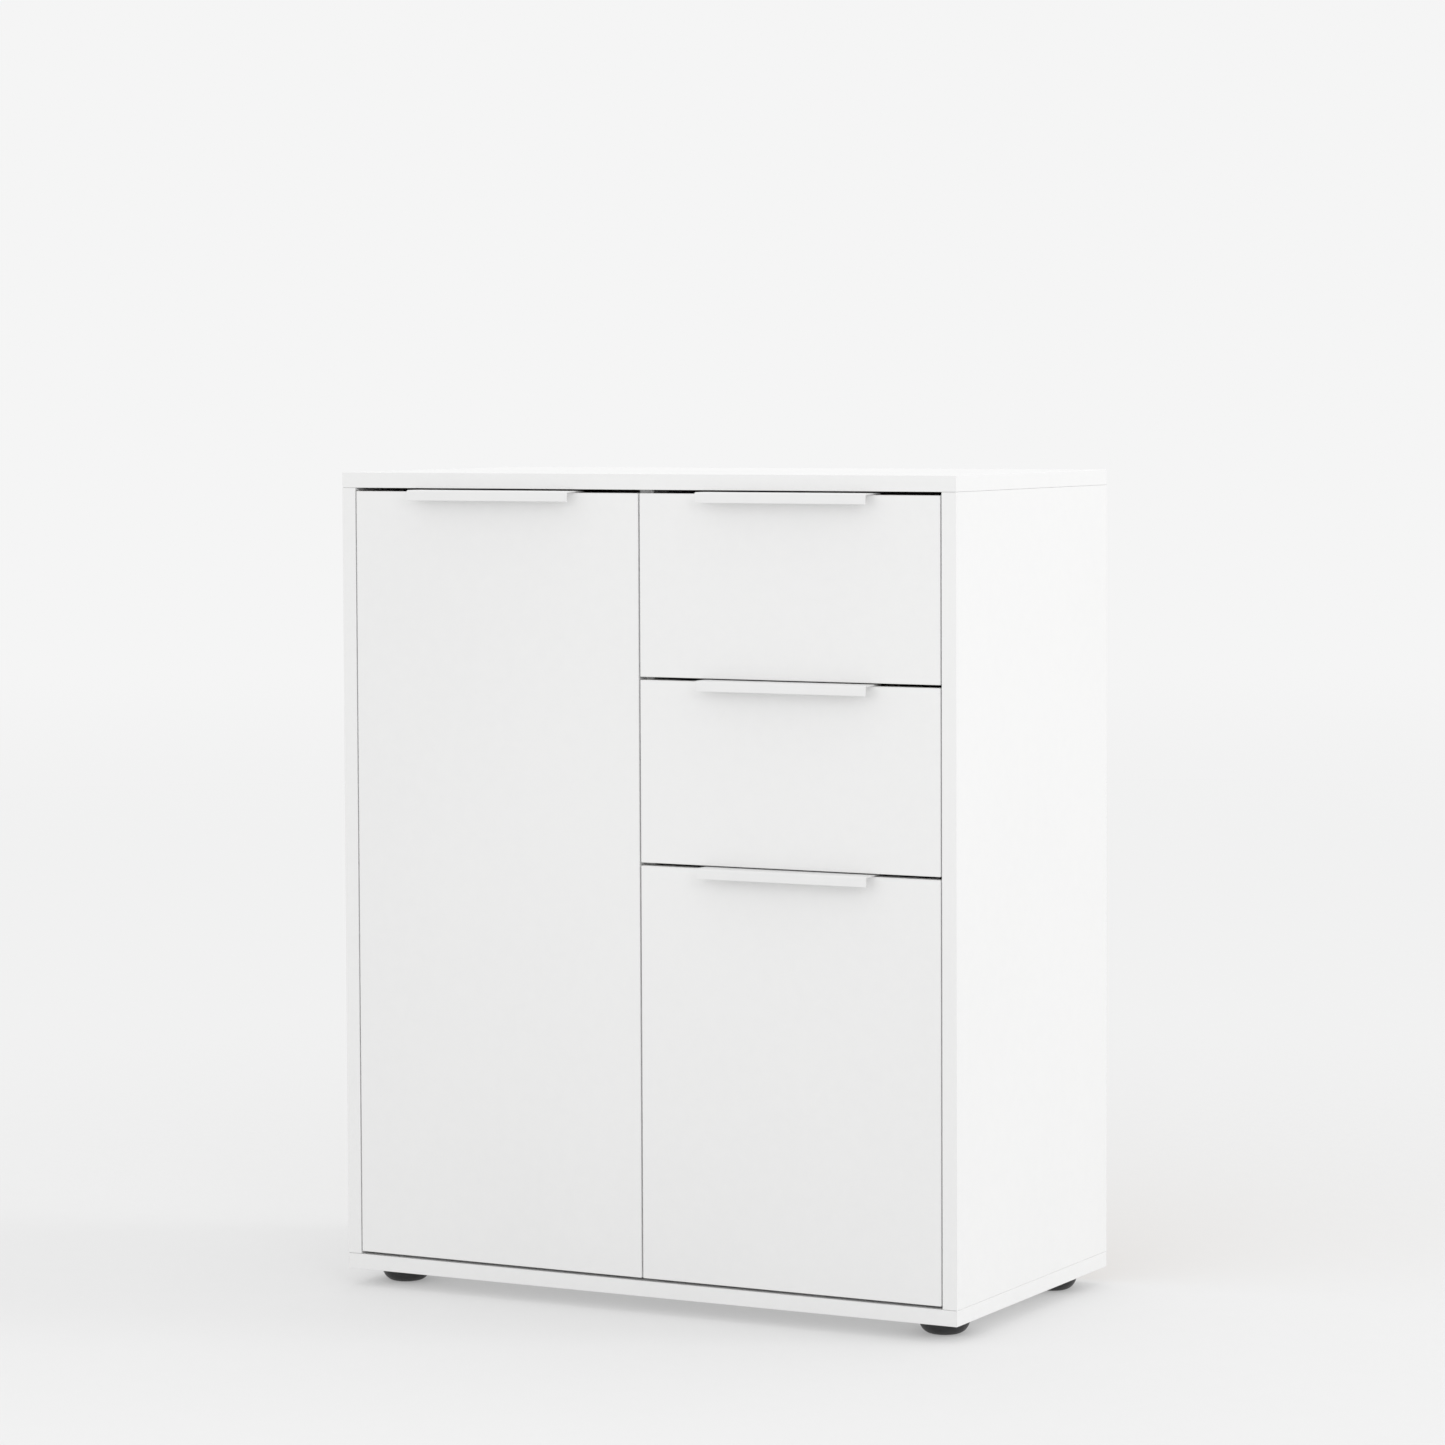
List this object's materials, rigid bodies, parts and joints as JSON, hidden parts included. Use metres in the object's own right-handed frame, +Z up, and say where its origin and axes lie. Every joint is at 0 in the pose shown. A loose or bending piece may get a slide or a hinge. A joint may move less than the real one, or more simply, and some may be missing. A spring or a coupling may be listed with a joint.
{
  "type": "sideboard buffet",
  "caption": "Tall white sideboard with inset fronts: a full-height door beside drawers above a lower door, with folded edge pulls and low bowl-shaped glides.",
  "frame": {"origin": "on the floor, under the centre of the whole cabinet's box", "axes": "+Z up, the fronts face -Y, +X is to the right of someone facing the cabinet"},
  "size_m": [0.8, 0.4354, 0.966],
  "materials": {
    "white_foil": "matt white foil on particle board",
    "white_metal": "satin white powder coat",
    "white_hardboard": "white lacquered thin fibreboard",
    "black_plastic": "moulded black plastic",
    "zinc_steel": "zinc-plated roll-formed steel",
    "nickel_steel": "nickel-plated pressed steel"
  },
  "bodies": {
    "cabinet": {"top_panel": "white_foil", "bottom_panel": "white_foil", "left_side_panel": "white_foil", "right_side_panel": "white_foil", "centre_partition": "white_foil", "back_panel": "white_hardboard", "fixed_shelf": "white_foil", "left_lower_shelf": "white_foil", "left_upper_shelf": "white_foil", "right_shelf": "white_foil", "front_left_foot": "black_plastic", "front_right_foot": "black_plastic", "rear_left_foot": "black_plastic", "rear_right_foot": "black_plastic", "left_door_lower_hinge_plate": "nickel_steel", "left_door_lower_hinge_arm": "nickel_steel", "left_door_upper_hinge_plate": "nickel_steel", "left_door_upper_hinge_arm": "nickel_steel", "right_door_lower_hinge_plate": "nickel_steel", "right_door_lower_hinge_arm": "nickel_steel", "right_door_upper_hinge_plate": "nickel_steel", "right_door_upper_hinge_arm": "nickel_steel", "upper_drawer_left_cabinet_rail": "zinc_steel", "upper_drawer_right_cabinet_rail": "zinc_steel", "lower_drawer_left_cabinet_rail": "zinc_steel", "lower_drawer_right_cabinet_rail": "zinc_steel"},
    "left_door": {"left_door": "white_foil", "left_door_pull": "white_metal", "left_door_lower_hinge_cup": "nickel_steel", "left_door_upper_hinge_cup": "nickel_steel"},
    "left_door_links": {"left_door_lower_hinge_link": "nickel_steel", "left_door_upper_hinge_link": "nickel_steel"},
    "right_door": {"right_door": "white_foil", "right_door_pull": "white_metal", "right_door_lower_hinge_cup": "nickel_steel", "right_door_upper_hinge_cup": "nickel_steel"},
    "right_door_links": {"right_door_lower_hinge_link": "nickel_steel", "right_door_upper_hinge_link": "nickel_steel"},
    "upper_drawer": {"upper_drawer_front": "white_foil", "upper_drawer_pull": "white_metal", "upper_drawer_left_side": "white_foil", "upper_drawer_right_side": "white_foil", "upper_drawer_back": "white_foil", "upper_drawer_base": "white_hardboard", "upper_drawer_left_drawer_rail": "zinc_steel", "upper_drawer_right_drawer_rail": "zinc_steel"},
    "upper_drawer_cages": {"upper_drawer_left_ball_cage": "zinc_steel", "upper_drawer_right_ball_cage": "zinc_steel"},
    "lower_drawer": {"lower_drawer_front": "white_foil", "lower_drawer_pull": "white_metal", "lower_drawer_left_side": "white_foil", "lower_drawer_right_side": "white_foil", "lower_drawer_back": "white_foil", "lower_drawer_base": "white_hardboard", "lower_drawer_left_drawer_rail": "zinc_steel", "lower_drawer_right_drawer_rail": "zinc_steel"},
    "lower_drawer_cages": {"lower_drawer_left_ball_cage": "zinc_steel", "lower_drawer_right_ball_cage": "zinc_steel"}
  },
  "joints": [
    {"name": "left_door_swing", "type": "hinge", "parent": "cabinet", "child": "left_door", "pos_m": [-0.366, -0.19185, 0.49275], "axis": [0, 0, -1], "range_deg": [0, 100]},
    {"name": "left_door_link_turn", "type": "hinge", "parent": "cabinet", "child": "left_door_links", "pos_m": [-0.343, -0.17255, 0.49275], "axis": [0, 0, 1], "range_deg": [0, 15]},
    {"name": "right_door_swing", "type": "hinge", "parent": "cabinet", "child": "right_door", "pos_m": [0.366, -0.19185, 0.27975], "axis": [0, 0, 1], "range_deg": [0, 100]},
    {"name": "right_door_link_turn", "type": "hinge", "parent": "cabinet", "child": "right_door_links", "pos_m": [0.343, -0.17255, 0.27975], "axis": [0, 0, -1], "range_deg": [0, 15]},
    {"name": "upper_drawer_slide", "type": "slide", "parent": "cabinet", "child": "upper_drawer", "axis": [0, -1, 0], "range_m": [0, 0.25]},
    {"name": "upper_drawer_cage_slide", "type": "slide", "parent": "cabinet", "child": "upper_drawer_cages", "axis": [0, -1, 0], "range_m": [0, 0.125]},
    {"name": "lower_drawer_slide", "type": "slide", "parent": "cabinet", "child": "lower_drawer", "axis": [0, -1, 0], "range_m": [0, 0.25]},
    {"name": "lower_drawer_cage_slide", "type": "slide", "parent": "cabinet", "child": "lower_drawer_cages", "axis": [0, -1, 0], "range_m": [0, 0.125]}
  ],
  "couplings": [
    {"joint": "left_door_link_turn", "follows": "left_door_swing", "ratio": 0.1483},
    {"joint": "right_door_link_turn", "follows": "right_door_swing", "ratio": 0.1483},
    {"joint": "upper_drawer_cage_slide", "follows": "upper_drawer_slide", "ratio": 0.5},
    {"joint": "lower_drawer_cage_slide", "follows": "lower_drawer_slide", "ratio": 0.5}
  ]
}
